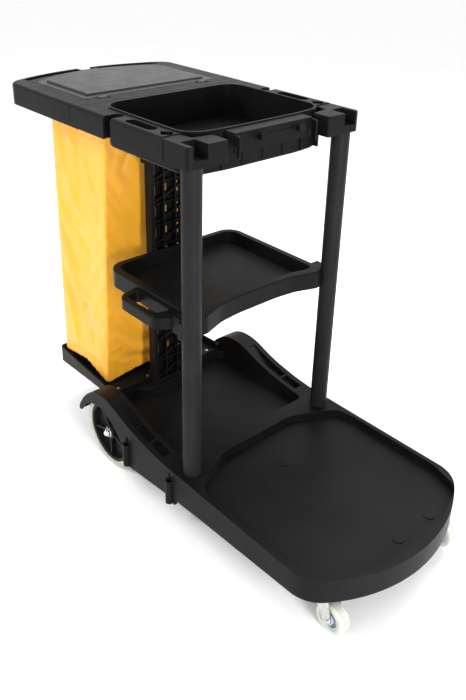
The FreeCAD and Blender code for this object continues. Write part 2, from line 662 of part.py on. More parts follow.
def handle_frame():
    body = frame_slab(0, FRAME_BOTTOM, FRAME_TOP)
    body = eased(body, flat_at(FRAME_TOP), 7)
    body = body.cut(frame_slab(WALL, FRAME_BOTTOM - 5, FRAME_TOP - WALL))
    mouth = bulged(LID_FRONT - 8, BAG_TOP_HALF_WIDTH - 4, LID_REAR + 48, LID_REAR_CURVE - 48, 10, 900, 980)
    seat = lid_slab(-1.2, FRAME_TOP - 7, FRAME_TOP + 20)
    ledge = lid_slab(-5, FRAME_TOP - 12, FRAME_TOP - 3)
    half = THUMB_NOTCH_HALF_WIDTH
    notch_floor = box(-HALF_LENGTH + 2, -HALF_LENGTH + 36, -half - 4, half + 4, FRAME_TOP - 13, FRAME_TOP - WALL)
    notch = box(-HALF_LENGTH - 5, -HALF_LENGTH + 30, -half, half, FRAME_TOP - 8, FRAME_TOP + 10)
    backing = both_sides(grip_band(4, 36, FRAME_TOP - 15, FRAME_TOP - WALL + 0.5))
    recesses = both_sides(grip_band(8, 27, FRAME_TOP - 11, FRAME_TOP + 10))
    seam = box(SEAM_X - 33.6, SEAM_X - 32, TRAY_HALF_WIDTH - 1.2, TRAY_HALF_WIDTH + 1, FRAME_BOTTOM - 1, FRAME_TOP + 1)
    seam = seam.fuse(box(SEAM_X - 33.6, SEAM_X - 32, TRAY_HALF_WIDTH - 30, TRAY_HALF_WIDTH + 1, FRAME_TOP - 1.2, FRAME_TOP + 1))
    pockets = [knuckle_space(s * HINGE_Y) for s in (-1, 1)]
    frame = union([body, ledge, hang_ring(), notch_floor] + backing)
    frame = frame.cut([mouth, seat, notch] + recesses + pockets + both_sides(seam))
    added = []
    for rib in grip_ribs():
        added += both_sides(rib)
    for s in (-1, 1):
        added += hinge_ears(s * HINGE_Y)
    frame = union([frame] + added)
    bores = []
    for s in (-1, 1):
        y = s * HINGE_Y
        bores.append(rod(HINGE_PIN_RADIUS, (LID_FRONT + 9, y - 19, LID_HINGE_Z), (LID_FRONT + 9, y + 19, LID_HINGE_Z)))
    return frame.cut(bores + frame_screws(SCREW_SEAT_GAP).Solids)


def lid_knuckle(y):
    """The arm at the lid's front edge that turns on one hinge pin."""
    arm = [(LID_FRONT - 8, FRAME_TOP - 4, 0), (LID_FRONT - 8, FRAME_TOP + 1, 0), (LID_FRONT + 10, FRAME_TOP + 2, 3),
           (LID_FRONT + 14, LID_HINGE_Z, 4), (LID_FRONT + 8, LID_HINGE_Z - 5.5, 3)]
    return side(arm, y - 11, y + 11)


def bag_lid():
    body = lid_slab(0, FRAME_TOP - 6.5, FRAME_TOP + 1)
    body = eased(body, flat_at(FRAME_TOP + 1), 2)
    raised = lid_slab(20, FRAME_TOP, FRAME_TOP + LID_RISE)
    raised = eased(raised, flat_at(FRAME_TOP + LID_RISE), 4)
    hollow = lid_slab(24, FRAME_TOP - 8, FRAME_TOP + 2.5)
    shell = union([body, raised]).cut(hollow)
    shell = union([shell, lid_knuckle(-HINGE_Y), lid_knuckle(HINGE_Y)])
    bore = HINGE_PIN_RADIUS + RUNNING_GAP
    bores = []
    for s in (-1, 1):
        y = s * HINGE_Y
        bores.append(rod(bore, (LID_FRONT + 9, y - 30, LID_HINGE_Z), (LID_FRONT + 9, y + 30, LID_HINGE_Z)))
    return shell.cut(bores)


def lid_hinge_pin(sign):
    y = sign * HINGE_Y
    return rod(HINGE_PIN_RADIUS, (LID_FRONT + 9, y - 18, LID_HINGE_Z), (LID_FRONT + 9, y + 18, LID_HINGE_Z))


# ---- bag ----

def bag_section(z, shrink):
    """One level of the bag: a rounded rectangle that widens and moves back downwards."""
    t = (z - BAG_BOTTOM) / (BAG_TOP - BAG_BOTTOM)
    half = BAG_BOTTOM_HALF_WIDTH + (BAG_TOP_HALF_WIDTH - BAG_BOTTOM_HALF_WIDTH) * t - shrink
    rear = BAG_BOTTOM_REAR + (BAG_TOP_REAR - BAG_BOTTOM_REAR) * t + shrink
    front_x = BAG_BOTTOM_FRONT + (BAG_TOP_FRONT - BAG_BOTTOM_FRONT) * t - shrink
    outline = [(front_x, half, 9), (rear, half, 14), (rear, -half, 14), (front_x, -half, 9)]
    return rounded_wire(outline, 0, lambda p: Vector(p.x, p.y, z))


def waste_bag():
    """The hanging vinyl bag: a closed skin with an open mouth at the top."""
    outer = Part.makeLoft([bag_section(BAG_BOTTOM, 0), bag_section(BAG_TOP, 0)], True, True)
    low = bag_section(BAG_BOTTOM + BAG_SKIN, BAG_SKIN)
    high = bag_section(BAG_TOP + 1, BAG_SKIN)
    return outer.cut(Part.makeLoft([low, high], True, True))


# ---- rear axle and wheels ----

def rear_axle():
    reach = AXLE_HALF_LENGTH
    return rod(AXLE_RADIUS, (WHEEL_X, -reach, WHEEL_RADIUS), (WHEEL_X, reach, WHEEL_RADIUS))


def outer_rims(radius):
    """Picks a wheel's two widest round edges."""
    return lambda e: abs(e.BoundBox.XLength - 2 * radius) < 1 and e.BoundBox.YLength < 0.5


def at_wheel(sign, depth):
    """A point on a rear wheel's axis, depth inwards from the tyre's outer face."""
    return (WHEEL_X, sign * (WHEEL_OUTER_Y - depth), WHEEL_RADIUS)


def rear_tyre(sign):
    a = at_wheel(sign, 0)
    b = at_wheel(sign, WHEEL_WIDTH)
    body = tube(WHEEL_RADIUS, WHEEL_RIM_RADIUS, a, b)
    return eased(body, outer_rims(WHEEL_RADIUS), 5)


def rear_wheel_rim(sign):
    a = at_wheel(sign, 2)
    b = at_wheel(sign, WHEEL_WIDTH - 2)
    ring = tube(WHEEL_RIM_RADIUS, WHEEL_RIM_RADIUS - 8, a, b)
    web = rod(WHEEL_RIM_RADIUS - 4, at_wheel(sign, 18), at_wheel(sign, 22))
    hub = rod(19, a, at_wheel(sign, WHEEL_WIDTH - 2))
    pieces = [ring, web, hub]
    spoke_y = sorted((at_wheel(sign, 6)[1], at_wheel(sign, 20)[1]))
    for i in range(SPOKES):
        spoke = box(WHEEL_X, WHEEL_X + WHEEL_RIM_RADIUS - 5, spoke_y[0], spoke_y[1],
                    WHEEL_RADIUS - 2.5, WHEEL_RADIUS + 2.5)
        spoke.rotate(Vector(WHEEL_X, 0, WHEEL_RADIUS), Vector(0, 1, 0), 72 * i + 20)
        pieces.append(spoke)
    wheel = union(pieces)
    return wheel.cut(rod(AXLE_RADIUS + 3, at_wheel(sign, -5), at_wheel(sign, WHEEL_WIDTH + 5)))


def rear_wheel_bush(sign):
    return tube(AXLE_RADIUS + 3, AXLE_RADIUS + RUNNING_GAP, at_wheel(sign, 2), at_wheel(sign, WHEEL_WIDTH - 2))


def axle_washer(sign):
    return tube(13, AXLE_RADIUS, at_wheel(sign, 1.3), at_wheel(sign, -0.3))


def inner_spacer(sign):
    return tube(12, AXLE_RADIUS, at_wheel(sign, WHEEL_WIDTH - 1.5), (WHEEL_X, sign * 200.5, WHEEL_RADIUS))


def axle_cap_nut(sign):
    start = at_wheel(sign, -0.5)
    mid = at_wheel(sign, -6)
    hexagon = []
    for i in range(6):
        angle = math.radians(60 * i)
        hexagon.append((WHEEL_X + 11 * math.cos(angle), WHEEL_RADIUS + 11 * math.sin(angle)))
    nut = side(hexagon, start[1], mid[1])
    dome = Part.makeSphere(8, Vector(WHEEL_X, mid[1], WHEEL_RADIUS))
    outside = sorted((mid[1], mid[1] + sign * 20))
    dome = dome.common(box(WHEEL_X - 20, WHEEL_X + 20, outside[0], outside[1], WHEEL_RADIUS - 20, WHEEL_RADIUS + 20))
    end = (WHEEL_X, sign * AXLE_HALF_LENGTH, WHEEL_RADIUS)
    return union([nut, dome]).cut(rod(AXLE_RADIUS, at_wheel(sign, 5), end))


# ---- front casters ----

def caster_centre(sign):
    return CASTER_X + CASTER_TRAIL, sign * CASTER_Y


def caster_stem(sign):
    """The fixed stem and its flange, which screw up into the base."""
    y = sign * CASTER_Y
    stem = rod(STEM_RADIUS, (CASTER_X, y, 85), (CASTER_X, y, 128))
    flange = rod(17, (CASTER_X, y, 94), (CASTER_X, y, CASTER_SEAT - 0.2))
    head = rod(11, (CASTER_X, y, 83), (CASTER_X, y, 86.5))
    return union([stem, flange, head])


def caster_race(sign):
    """The ball race under the flange. It is fixed to the stem."""
    y = sign * CASTER_Y
    return tube(21, STEM_RADIUS, (CASTER_X, y, 90.5), (CASTER_X, y, 93.7))


def caster_fork(sign):
    """A pressed steel fork: a crown that turns on the stem and two cheeks that reach back to the wheel."""
    wheel_x, y = caster_centre(sign)
    crown = plan([(CASTER_X - 24, y - 20, 14), (CASTER_X - 24, y + 20, 14), (wheel_x - 2, y + 20, 4),
                  (wheel_x - 2, y - 20, 4)], 87.5, 90)
    pieces = [crown]
    for face in (-20, 17.5):
        outline = [(CASTER_X - 14, 89.5, 3), (wheel_x - 2, 89.5, 3), (wheel_x + 11, CASTER_WHEEL_RADIUS, 10),
                   (wheel_x - 4, CASTER_WHEEL_RADIUS - 11, 9), (wheel_x - 14, CASTER_WHEEL_RADIUS + 2, 6)]
        pieces.append(side(outline, y + face, y + face + 2.5))
    fork = union(pieces)
    kingpin = rod(STEM_RADIUS + RUNNING_GAP, (CASTER_X, y, 80), (CASTER_X, y, 95))
    bolt = rod(4, (wheel_x, y - 30, CASTER_WHEEL_RADIUS), (wheel_x, y + 30, CASTER_WHEEL_RADIUS))
    return fork.cut([kingpin, bolt])


def caster_bolt(sign):
    x, y = caster_centre(sign)
    z = CASTER_WHEEL_RADIUS
    shank = rod(4, (x, y - 24, z), (x, y + 27, z))
    head = rod(7, (x, y - 24.5, z), (x, y - 20.1, z))
    return union([shank, head])


def hex_across(x, z, radius, y0, y1):
    corners = []
    for i in range(6):
        angle = math.radians(60 * i + 30)
        corners.append((x + radius * math.cos(angle), z + radius * math.sin(angle)))
    return side(corners, y0, y1)


def caster_nut(sign):
    x, y = caster_centre(sign)
    z = CASTER_WHEEL_RADIUS
    return hex_across(x, z, 7.5, y + 20.1, y + 26).cut(rod(4, (x, y + 15, z), (x, y + 30, z)))


def caster_hub(sign):
    x, y = caster_centre(sign)
    z = CASTER_WHEEL_RADIUS
    half = CASTER_WHEEL_WIDTH / 2
    ring = tube(26, 20, (x, y - half + 1, z), (x, y + half - 1, z))
    web = rod(22, (x, y - 4, z), (x, y + 4, z))
    boss = rod(11, (x, y - 16, z), (x, y + 16, z))
    return union([ring, web, boss]).cut(rod(4 + RUNNING_GAP, (x, y - 20, z), (x, y + 20, z)))


def caster_tyre(sign):
    x, y = caster_centre(sign)
    z = CASTER_WHEEL_RADIUS
    half = CASTER_WHEEL_WIDTH / 2
    body = tube(CASTER_WHEEL_RADIUS, 26, (x, y - half, z), (x, y + half, z))
    body = eased(body, outer_rims(CASTER_WHEEL_RADIUS), 4)
    grooves = []
    for offset in (-4, 4):
        middle = y + offset
        grooves.append(tube(CASTER_WHEEL_RADIUS + 1, CASTER_WHEEL_RADIUS - 1, (x, middle - 0.7, z), (x, middle + 0.7, z)))
    return body.cut(grooves)


# ---- fasteners ----

def screws(points, direction, length, grow):
    """Pan-head screws. Each head sits outside its point, and the shank runs on along direction."""
    d = Vector(*direction)
    made = []
    for point in points:
        a = Vector(*point)
        head = Part.makeCylinder(SCREW_HEAD_RADIUS + grow, 2.4 + grow, a - d * (2.4 + grow), d)
        shank = Part.makeCylinder(SCREW_SHANK_RADIUS + grow, length + grow, a, d)
        made.append(head.fuse(shank).removeSplitter())
    return Part.makeCompound(made)


def post_screws(grow=0.0):
    """One screw through the base into each post's foot, from below."""
    return screws([(POST_X, s * POST_Y, 110) for s in (-1, 1)], (0, 0, 1), 9, grow)


def shelf_screws(grow=0.0):
    """Screws through the shelf's rear wall into the back panel."""
    return screws([(SHELF_REAR + 14, y, 545) for y in (-40, 40)], (-1, 0, 0), 20, grow)


def frame_screws(grow=0.0):
    """Screws that hold the handle frame to the top tray's rear wall, from inside the frame."""
    return screws([(SEAM_X - 5.4, y, 935) for y in (-205, -120, 120, 205)], (1, 0, 0), 9, grow)


def platform_screws(grow=0.0):
    """Screws through the bag platform's floor into the base's rear ledge."""
    points = [(PLATFORM_FRONT - 17, y, PLATFORM_FLOOR) for y in (-160, -60, 60, 160)]
    return screws(points, (0, 0, -1), 10, grow)


NODES = {
    "base_platform": base_platform,
    "bag_platform": bag_platform,
    "back_panel": back_panel,
    "panel_socket": panel_socket,
    "middle_shelf": middle_shelf,
    "top_tray": top_tray,
    "handle_frame": handle_frame,
    "bag_lid": bag_lid,
    "waste_bag": waste_bag,
    "rear_axle": rear_axle,
    "post_screws": post_screws,
    "shelf_screws": shelf_screws,
    "frame_screws": frame_screws,
    "platform_screws": platform_screws,
}

SIDED_NODES = {
    "front_post": front_post,
    "lid_hinge_pin": lid_hinge_pin,
    "rear_tyre": rear_tyre,
    "rear_wheel_rim": rear_wheel_rim,
    "rear_wheel_bush": rear_wheel_bush,
    "axle_washer": axle_washer,
    "axle_spacer": inner_spacer,
    "axle_cap_nut": axle_cap_nut,
    "caster_stem": caster_stem,
    "caster_race": caster_race,
    "caster_fork": caster_fork,
    "caster_bolt": caster_bolt,
    "caster_nut": caster_nut,
    "caster_hub": caster_hub,
    "caster_tyre": caster_tyre,
}

for name, make in NODES.items():
    save(name, make())

for name, make in SIDED_NODES.items():
    for side_name, side_sign in SIDES:
        save(name + "_" + side_name, make(side_sign))
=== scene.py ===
import json
import math
import bpy
from mathutils import Matrix, Vector, noise


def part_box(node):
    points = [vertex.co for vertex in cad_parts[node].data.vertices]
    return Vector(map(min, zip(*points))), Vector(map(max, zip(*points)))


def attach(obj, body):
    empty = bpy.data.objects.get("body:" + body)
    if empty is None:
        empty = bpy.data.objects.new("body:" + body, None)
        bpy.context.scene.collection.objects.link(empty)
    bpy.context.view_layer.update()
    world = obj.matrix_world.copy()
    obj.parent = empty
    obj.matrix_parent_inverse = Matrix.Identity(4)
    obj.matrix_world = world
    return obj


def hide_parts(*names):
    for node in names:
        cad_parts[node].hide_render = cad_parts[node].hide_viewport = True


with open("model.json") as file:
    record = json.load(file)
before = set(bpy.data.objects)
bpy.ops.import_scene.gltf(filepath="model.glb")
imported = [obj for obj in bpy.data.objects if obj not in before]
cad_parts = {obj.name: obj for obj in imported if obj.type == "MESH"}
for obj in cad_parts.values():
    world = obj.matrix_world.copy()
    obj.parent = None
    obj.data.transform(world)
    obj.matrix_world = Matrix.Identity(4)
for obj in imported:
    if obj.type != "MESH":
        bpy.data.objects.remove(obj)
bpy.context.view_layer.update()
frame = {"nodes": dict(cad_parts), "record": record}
nodes = frame["nodes"]


# ---- camera: three-quarter view from the front left, looking down on the deck ----

CAMERA_PLACE = (1.2590, -1.1331, 1.3840)
CAMERA_AZIMUTH = 47.903
CAMERA_DROP = 25.703
CAMERA_ROLL = 1.393
LENS_MM = 39.64
SENSOR_MM = 36.0
SHIFT_X = 0.0012
SHIFT_Y = -0.1084


def make_camera():
    data = bpy.data.cameras.new("photo_camera")
    data.lens = LENS_MM
    data.sensor_width = SENSOR_MM
    data.shift_x = SHIFT_X
    data.shift_y = SHIFT_Y
    data.clip_start = 0.05
    data.clip_end = 60
    camera = bpy.data.objects.new("photo_camera", data)
    bpy.context.scene.collection.objects.link(camera)
    azimuth = math.radians(CAMERA_AZIMUTH)
    drop = math.radians(CAMERA_DROP)
    back = Vector((math.sin(azimuth) * math.cos(drop), -math.cos(azimuth) * math.cos(drop), math.sin(drop)))
    turn = back.to_track_quat("Z", "Y").to_matrix() @ Matrix.Rotation(math.radians(CAMERA_ROLL), 3, "Z")
    camera.matrix_world = Matrix.Translation(CAMERA_PLACE) @ turn.to_4x4()
    bpy.context.scene.camera = camera


# ---- lights, floor and backdrop ----

def area_light(name, place, target, size, power):
    data = bpy.data.lights.new(name, "AREA")
    data.shape = "RECTANGLE"
    data.size = size[0]
    data.size_y = size[1]
    data.energy = power
    light = bpy.data.objects.new(name, data)
    bpy.context.scene.collection.objects.link(light)
    light.location = place
    light.rotation_mode = "QUATERNION"
    light.rotation_quaternion = (Vector(target) - Vector(place)).to_track_quat("-Z", "Y")


def make_studio():
    scene = bpy.context.scene
    scene.view_settings.view_transform = "Standard"
    world = bpy.data.worlds.new("studio")
    world.use_nodes = True
    background = world.node_tree.nodes["Background"]
    background.inputs["Color"].default_value = (1.0, 1.0, 1.0, 1)
    background.inputs["Strength"].default_value = 1.0
    scene.world = world
    area_light("key", (-1.3, -2.4, 2.3), (-0.2, 0, 0.5), (0.8, 1.2), 44)
    area_light("top", (-0.6, 1.2, 3.0), (0.0, 0, 0.5), (2.0, 1.4), 50)
    area_light("front", (2.3, -0.7, 0.9), (-0.3, -0.1, 0.5), (0.6, 1.0), 44)
    area_light("rim", (0.2, 2.8, 1.7), (0, 0, 0.6), (0.5, 2.0), 40)
    bpy.ops.mesh.primitive_plane_add(size=60, location=(0, 0, 0))
    floor = bpy.context.object
    floor.name = "studio_floor"
    g = Graph("studio_floor")
    tone = g.ramp(g.noise(3), 0.3, 0.7, 0, 1)
    g.link(g.blend(tone, (0.96, 0.96, 0.96), (0.98, 0.98, 0.98)), g.shader.inputs["Base Color"])
    g.shader.inputs["Roughness"].default_value = 0.55
    floor.data.materials.append(g.material)


# ---- materials ----

class Graph:
    """A short way to write a material's nodes."""

    def __init__(self, name):
        self.material = bpy.data.materials.new(name)
        self.material.use_nodes = True
        self.tree = self.material.node_tree
        self.shader = self.tree.nodes["Principled BSDF"]

    def node(self, kind, **values):
        made = self.tree.nodes.new(kind)
        for key, value in values.items():
            if key in made.inputs:
                made.inputs[key].default_value = value
            else:
                setattr(made, key, value)
        return made

    def link(self, out, into):
        self.tree.links.new(out, into)

    def coordinates(self):
        return self.node("ShaderNodeTexCoord").outputs["Object"]

    def noise(self, scale, detail=3.0, roughness=0.55):
        texture = self.node("ShaderNodeTexNoise", Scale=scale, Detail=detail, Roughness=roughness)
        self.link(self.coordinates(), texture.inputs["Vector"])
        return texture.outputs["Fac"]

    def ramp(self, source, low, high, start, end):
        """Maps source's low..high to start..end."""
        made = self.node("ShaderNodeMapRange")
        made.inputs["From Min"].default_value = low
        made.inputs["From Max"].default_value = high
        made.inputs["To Min"].default_value = start
        made.inputs["To Max"].default_value = end
        self.link(source, made.inputs["Value"])
        return made.outputs["Result"]

    def blend(self, factor, first, second):
        made = self.node("ShaderNodeMix", data_type="RGBA")
        made.inputs[6].default_value = (*first, 1)
        made.inputs[7].default_value = (*second, 1)
        self.link(factor, made.inputs["Factor"])
        return made.outputs[2]

    def bump(self, height, distance, strength=1.0, normal=None):
        made = self.node("ShaderNodeBump")
        made.inputs["Distance"].default_value = distance
        made.inputs["Strength"].default_value = strength
        self.link(height, made.inputs["Height"])
        if normal is not None:
            self.link(normal, made.inputs["Normal"])
        return made.outputs["Normal"]

    def soft_edges(self, radius):
        made = self.node("ShaderNodeBevel", samples=4)
        made.inputs["Radius"].default_value = radius
        return made.outputs["Normal"]


def moulded_plastic(name, dark, light, roughness=(0.34, 0.44), grain=900, edge=0.0011, gloss=0.075):
    """Injection-moulded plastic: fine grain, scuffs, softened corners, and edges painted lighter, partly as
    rubbed edges and partly as a painted edge highlight.
    """
    g = Graph(name)
    soft = g.soft_edges(edge)
    colour = g.blend(g.ramp(g.noise(9, 5), 0.3, 0.7, 0, 1), dark, light)
    # Edges are painted lighter where the bevelled normal bends away from the face normal: partly rubbed
    # edges, partly a painted edge highlight, broken into patches by noise.
    edge_highlight_and_wear_dot = g.node("ShaderNodeVectorMath", operation="DOT_PRODUCT")
    g.link(soft, edge_highlight_and_wear_dot.inputs[0])
    g.link(g.node("ShaderNodeNewGeometry").outputs["Normal"], edge_highlight_and_wear_dot.inputs[1])
    edge_highlight_and_wear = g.ramp(edge_highlight_and_wear_dot.outputs["Value"], 0.995, 0.9, 0, 0.55)
    patchy = g.ramp(g.noise(55, 5), 0.42, 0.62, 0.25, 1)
    patchy_edge_highlight_and_wear = g.node("ShaderNodeMath", operation="MULTIPLY")
    g.link(edge_highlight_and_wear, patchy_edge_highlight_and_wear.inputs[0])
    g.link(patchy, patchy_edge_highlight_and_wear.inputs[1])
    mixed = g.node("ShaderNodeMix", data_type="RGBA")
    g.link(patchy_edge_highlight_and_wear.outputs["Value"], mixed.inputs["Factor"])
    g.link(colour, mixed.inputs[6])
    # The lighter edge colour, about three times the light tone, carries the painted edge highlight.
    mixed.inputs[7].default_value = (*[min(1, 3.2 * c + 0.022) for c in light], 1)
    g.link(mixed.outputs[2], g.shader.inputs["Base Color"])
    g.link(g.ramp(g.noise(26, 5), 0.3, 0.7, *roughness), g.shader.inputs["Roughness"])
    g.link(g.bump(g.noise(grain, 2), 0.0002, 0.45, soft), g.shader.inputs["Normal"])
    g.shader.inputs["Specular IOR Level"].default_value = gloss
    return g.material


def plated_steel(name, colour, roughness=(0.18, 0.34)):
    """Zinc or chrome plate: metal with faint cloudy spangle."""
    g = Graph(name)
    cloud = g.ramp(g.noise(90), 0.35, 0.65, 0, 1)
    darker = tuple(c * 0.82 for c in colour)
    g.link(g.blend(cloud, darker, colour), g.shader.inputs["Base Color"])
    g.shader.inputs["Metallic"].default_value = 1.0
    g.link(g.ramp(g.noise(150), 0.3, 0.7, *roughness), g.shader.inputs["Roughness"])
    g.link(g.bump(g.noise(500), 0.0001, 0.4, g.soft_edges(0.0006)), g.shader.inputs["Normal"])
    return g.material


def grey_rubber(name, dark, light):
    """Non-marking grey rubber with dusty mottling."""
    g = Graph(name)
    g.link(g.blend(g.ramp(g.noise(35, 5), 0.35, 0.65, 0, 1), dark, light), g.shader.inputs["Base Color"])
    g.link(g.ramp(g.noise(120), 0.3, 0.7, 0.55, 0.75), g.shader.inputs["Roughness"])
    g.link(g.bump(g.noise(700, 4), 0.0004, 0.5, g.soft_edges(0.0012)), g.shader.inputs["Normal"])
    return g.material


def yellow_vinyl():
    """Thin coated fabric: woven backing showing through, fine crinkles and a soft sheen."""
    g = Graph("yellow_vinyl")
    tone = g.ramp(g.noise(5, 4), 0.3, 0.7, 0, 1)
    g.link(g.blend(tone, (0.86, 0.37, 0.016), (0.95, 0.44, 0.022)), g.shader.inputs["Base Color"])
    g.link(g.ramp(g.noise(30), 0.3, 0.7, 0.34, 0.5), g.shader.inputs["Roughness"])
    weave = g.bump(g.noise(1500, 2), 0.0001, 0.3)
    crinkle = g.bump(g.noise(26, 4, 0.5), 0.0020, 0.30, weave)
    g.link(crinkle, g.shader.inputs["Normal"])
    g.shader.inputs["Sheen Weight"].default_value = 0.1
    return g.material


def woven_tape():
    """The black tape that binds the bag's rear edge."""
    g = Graph("black_tape")
    wave = g.node("ShaderNodeTexWave", Scale=260.0, Distortion=0.6)
    wave.bands_direction = "Z"
    g.link(g.coordinates(), wave.inputs["Vector"])
    rib = wave.outputs["Fac"]
    g.link(g.blend(rib, (0.008, 0.008, 0.008), (0.022, 0.022, 0.023)), g.shader.inputs["Base Color"])
    g.link(g.ramp(g.noise(90), 0.3, 0.7, 0.6, 0.8), g.shader.inputs["Roughness"])
    g.link(g.bump(rib, 0.0004, 0.6), g.shader.inputs["Normal"])
    return g.material


def make_materials():
    black = ((0.0045, 0.0045, 0.0047), (0.0070, 0.0070, 0.0072))
    # The lid's tones are lighter than the black plastic: partly its own grey, partly a painted reflection
    # of the grazing light on its top.
    lid = ((0.012, 0.012, 0.013), (0.016, 0.016, 0.017))
    post = ((0.011, 0.011, 0.012), (0.016, 0.016, 0.017))
    hub = ((0.33, 0.38, 0.43), (0.42, 0.47, 0.52))
    nylon = ((0.55, 0.55, 0.52), (0.65, 0.65, 0.62))
    return {
        "black_plastic": moulded_plastic("black_plastic", *black),
        "lid_plastic": moulded_plastic("lid_plastic", *lid, (0.3, 0.4), gloss=0.3),
        "yellow_vinyl": yellow_vinyl(),
        "post_plastic": moulded_plastic("post_plastic", *post, (0.4, 0.52)),
        "rim_plastic": moulded_plastic("rim_plastic", (0.010, 0.010, 0.010), (0.015, 0.015, 0.015)),
        "grey_tyre": grey_rubber("grey_tyre", (0.36, 0.375, 0.31), (0.47, 0.49, 0.41)),
        "caster_grey": grey_rubber("caster_grey", (0.45, 0.47, 0.41), (0.58, 0.60, 0.53)),
        "hub_plastic": moulded_plastic("hub_plastic", *hub, (0.25, 0.4), gloss=0.5),
        "zinc": plated_steel("zinc", (0.66, 0.66, 0.63)),
        "chrome_cap": plated_steel("chrome_cap", (0.85, 0.85, 0.85), (0.06, 0.14)),
        "nylon": moulded_plastic("nylon", *nylon, (0.3, 0.45), gloss=0.5),
        "screw_steel": plated_steel("screw_steel", (0.5, 0.5, 0.5), (0.25, 0.4)),
        "black_tape": woven_tape(),
    }


def dress_nodes(materials):
    for part in frame["record"]["subparts"]:
        thing = nodes[part["node"]]
        thing.data.materials.clear()
        thing.data.materials.append(materials[part["material_slot"]])


# ---- the hanging bag ----

BAG_LOW, BAG_HIGH = (Vector(c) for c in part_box("waste_bag"))
BAG_TAPER_FRONT = 0.021
BAG_TAPER_REAR = 0.012
BAG_TAPER_SIDE = 0.018
FRONT_CORNER = 0.006
REAR_CORNER = 0.016
CORNER_STEPS = 4
CELL = 0.0085
SIM_GROWTH = 0.008
SIM_FRAMES = 26
FLOOR_RINGS = 7
CREASE_GAIN = 1.5
SIDE_HEM_PEAK = 0.028
FRONT_HEM_PEAK = 0.016
REAR_HEM_LIFT = 0.013
PEAK_ALONG = 0.5
FOLD_SCALE = 9
FOLD_SCALE_UP = 3.5
FOLD_HEIGHT = 0.0035
PUCKER_HEIGHT = 0.0016
PUCKERS_ALONG = 60
PUCKER_UP = 0.012
PUCKER_SPREAD = 0.02
EDGE_SCALE = 55
EDGE_SHIFT = 7.0
FACE_FADE = 0.4
CREASE_STRETCH = 2.8
SAG_LEAST = 0.004
SAG_MORE = 0.010
FLOOR_LIFT = 0.002
SEAM_HOLD = 0.75
FLOOR_CLEARANCE = 0.0005

# The tape sewn down the bag's rear face.
TAPE_WIDTH = 0.012
TAPE_PROUD = 0.0022
TAPE_BULGE = 0.004
TAPE_BULGE_SCALE = 17
TAPE_SET_IN = 0.014
TAPE_TOP_GAP = 0.03
TAPE_BOTTOM_GAP = 0.4
TAPE_REACH = 0.03
TAPE_THICKNESS = 0.0016
TAPE_CROWN = 0.0008

# Creases on the near side: from (along, up) to (along, up), half width, height. Along is 0 at the
# rear and 1 at the front edge, up is 0 at the hem and 1 at the mouth.
SIDE_CREASES = (
    ((0.47, 1.00), (0.44, 0.52), 0.030, -0.0030),
    ((0.40, 0.55), (0.46, 0.18), 0.016, 0.0028),
    ((0.33, 0.98), (0.30, 0.60), 0.110, 0.0045),
    ((0.36, 0.53), (0.94, 0.10), 0.120, 0.0060),
    ((0.36, 0.53), (0.47, 0.49), 0.035, -0.0050),
    ((0.22, 0.62), (0.36, 0.54), 0.022, 0.0035),
    ((0.45, 0.60), (0.60, 0.50), 0.024, 0.0032),
    ((0.55, 0.80), (0.78, 0.68), 0.022, 0.0028),
    ((0.70, 0.76), (0.96, 0.62), 0.020, -0.0024),
    ((0.12, 0.92), (0.40, 0.84), 0.030, 0.0030),
    ((0.55, 0.24), (0.20, 0.02), 0.060, -0.0040),
    ((0.62, 0.14), (0.98, 0.02), 0.040, 0.0035),
    ((0.08, 0.30), (0.30, 0.06), 0.050, 0.0030),
)
# Creases on the front: along is 0 at the near edge and 1 at the far edge.
FRONT_CREASES = (
    ((0.05, 0.98), (0.10, 0.90), 0.030, -0.0035),
    ((0.33, 0.97), (0.16, 0.84), 0.014, 0.0045),
    ((0.20, 0.94), (0.08, 0.80), 0.014, 0.0040),
    ((0.26, 0.90), (0.14, 0.78), 0.012, -0.0035),
    ((0.02, 0.72), (0.30, 0.69), 0.010, 0.0022),
    ((0.30, 0.70), (0.60, 0.69), 0.008, 0.0018),
    ((0.04, 0.36), (0.16, 0.30), 0.024, 0.0030),
    ((0.20, 0.46), (0.05, 0.38), 0.030, -0.0030),
    ((0.10, 0.26), (0.40, 0.14), 0.050, 0.0040),
    ((0.15, 0.08), (0.60, 0.02), 0.040, -0.0035),
    ((0.42, 0.60), (0.46, 0.20), 0.080, 0.0030),
    ((0.90, 0.97), (0.75, 0.80), 0.020, 0.0040),
)


def bag_corners(up):
    """The four corners of the bag in plan at a height, near rear first."""
    down = 1 - up
    rear = BAG_LOW.x + BAG_TAPER_REAR * down
    front = BAG_HIGH.x - BAG_TAPER_FRONT * down
    half = BAG_HIGH.y - BAG_TAPER_SIDE * up
    return [(rear, -half, REAR_CORNER), (front, -half, FRONT_CORNER),
            (front, half, FRONT_CORNER), (rear, half, REAR_CORNER)]


def bag_ring(up, counts):
    """Points round the bag at a height, each with its outward direction, side and place along it."""
    corners = bag_corners(up)
    ring = []
    turn = -math.pi / 2
    for side in range(4):
        x0, y0, r0 = corners[side]
        x1, y1, r1 = corners[(side + 1) % 4]
        along = Vector((math.cos(turn + math.pi / 2), math.sin(turn + math.pi / 2), 0))
        outward = Vector((math.cos(turn), math.sin(turn), 0))
        start = Vector((x0, y0, 0)) + along * r0
        length = (Vector((x1, y1, 0)) - along * r1 - start).length
        for i in range(counts[side]):
            share = i / counts[side]
            ring.append((start + along * length * share, outward, side, share))
        centre = Vector((x1, y1, 0)) - along * r1 - outward * r1
        for i in range(CORNER_STEPS):
            angle = turn + math.pi / 2 * i / CORNER_STEPS
            way = Vector((math.cos(angle), math.sin(angle), 0))
            ring.append((centre + way * r1, way, side, 1.0))
        turn += math.pi / 2
    return ring


